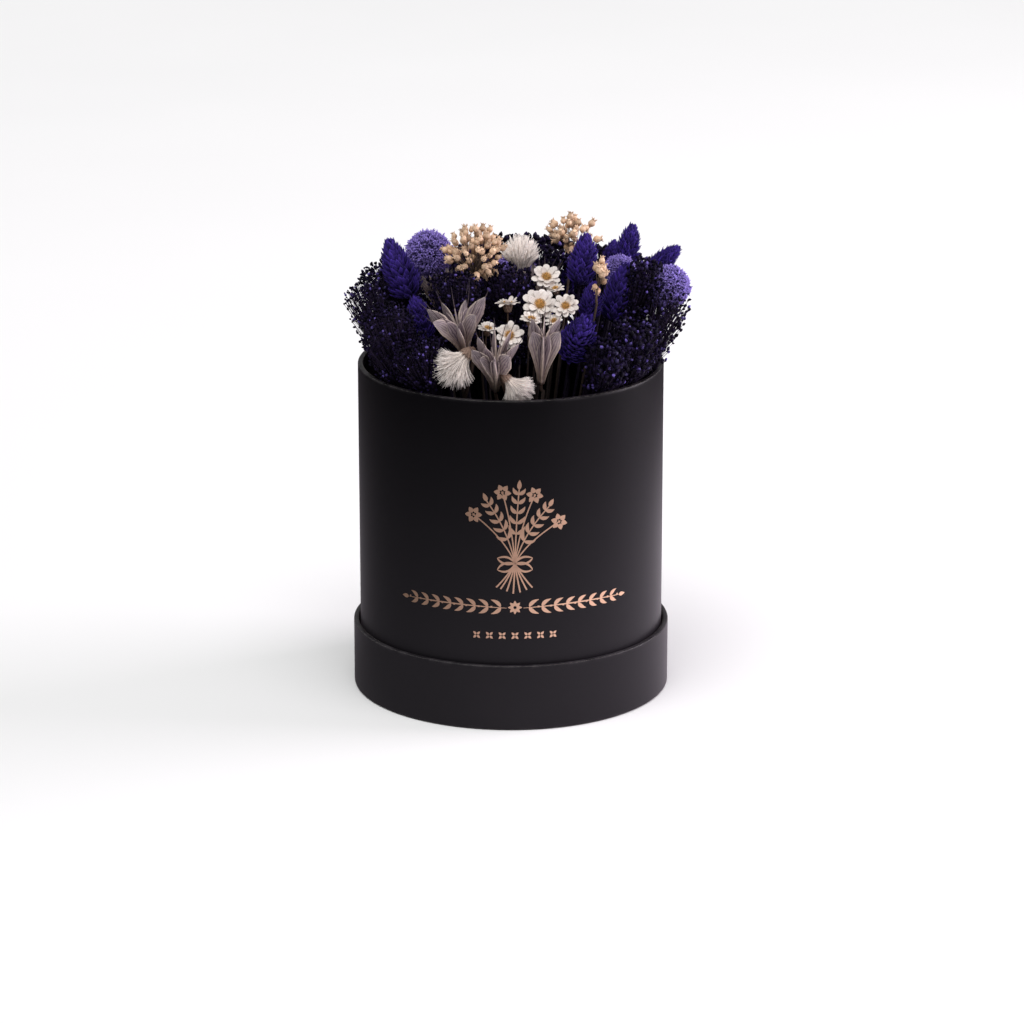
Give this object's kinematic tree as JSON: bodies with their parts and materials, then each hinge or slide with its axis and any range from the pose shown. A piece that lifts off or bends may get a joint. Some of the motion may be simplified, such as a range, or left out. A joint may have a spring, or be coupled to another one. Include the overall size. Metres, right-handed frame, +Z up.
{
  "type": "flower box",
  "caption": "Round matte-black hat box standing in its upturned lid, filled with a dense arrangement of dried flowers in dry foam.",
  "frame": {"origin": "centre of the lid's outer face, which the whole flower box stands on", "axes": "+Z up along the axis of the box; the foil emblem faces -Y; +X to the right when the emblem is looked at"},
  "size_m": [0.1731, 0.1566, 0.2328],
  "materials": {
    "black_paper": "matte",
    "greyboard": "matte",
    "dry_foam": "matte",
    "canary_grass": "matte",
    "billy_button": "matte",
    "thistle": "matte",
    "daisy": "matte",
    "nigella": "matte",
    "bud_spray": "matte",
    "broom_bloom": "matte",
    "rose_gold_foil": "satin"
  },
  "bodies": {
    "lid": {"lid_disc": "greyboard", "lid_face_paper": "black_paper", "lid_lining": "black_paper", "lid_wall": "greyboard", "lid_wrap": "black_paper"},
    "box": {"box_disc": "greyboard", "box_face_paper": "black_paper", "box_lining": "black_paper", "box_wall": "greyboard", "box_wrap": "black_paper"},
    "arrangement": {"billy_button_1": "billy_button", "billy_button_2": "billy_button", "billy_button_3": "billy_button", "billy_button_4": "billy_button", "broom_bloom_1": "broom_bloom", "broom_bloom_10": "broom_bloom", "broom_bloom_11": "broom_bloom", "broom_bloom_12": "broom_bloom", "broom_bloom_13": "broom_bloom", "broom_bloom_2": "broom_bloom", "broom_bloom_3": "broom_bloom", "broom_bloom_4": "broom_bloom", "broom_bloom_5": "broom_bloom", "broom_bloom_6": "broom_bloom", "broom_bloom_7": "broom_bloom", "broom_bloom_8": "broom_bloom", "broom_bloom_9": "broom_bloom", "bud_spray_1": "bud_spray", "bud_spray_2": "bud_spray", "bud_spray_3": "bud_spray", "canary_grass_1": "canary_grass", "canary_grass_10": "canary_grass", "canary_grass_11": "canary_grass", "canary_grass_12": "canary_grass", "canary_grass_2": "canary_grass", "canary_grass_3": "canary_grass", "canary_grass_4": "canary_grass", "canary_grass_5": "canary_grass", "canary_grass_6": "canary_grass", "canary_grass_7": "canary_grass", "canary_grass_8": "canary_grass", "canary_grass_9": "canary_grass", "daisy_1": "daisy", "daisy_2": "daisy", "daisy_3": "daisy", "daisy_4": "daisy", "daisy_5": "daisy", "daisy_6": "daisy", "daisy_7": "daisy", "daisy_8": "daisy", "daisy_9": "daisy", "dry_foam": "dry_foam", "nigella_1": "nigella", "nigella_2": "nigella", "nigella_3": "nigella", "nigella_4": "nigella", "nigella_5": "nigella", "thistle_1": "thistle", "thistle_2": "thistle", "thistle_3": "thistle"}
  },
  "joints": [
    {"name": "box_lift", "type": "slide", "parent": "lid", "child": "box", "axis": [0, 0, 1], "range_m": [0, 0.04]},
    {"name": "insert_lift", "type": "slide", "parent": "box", "child": "arrangement", "axis": [0, 0, 1], "range_m": [0, 0.165]}
  ]
}
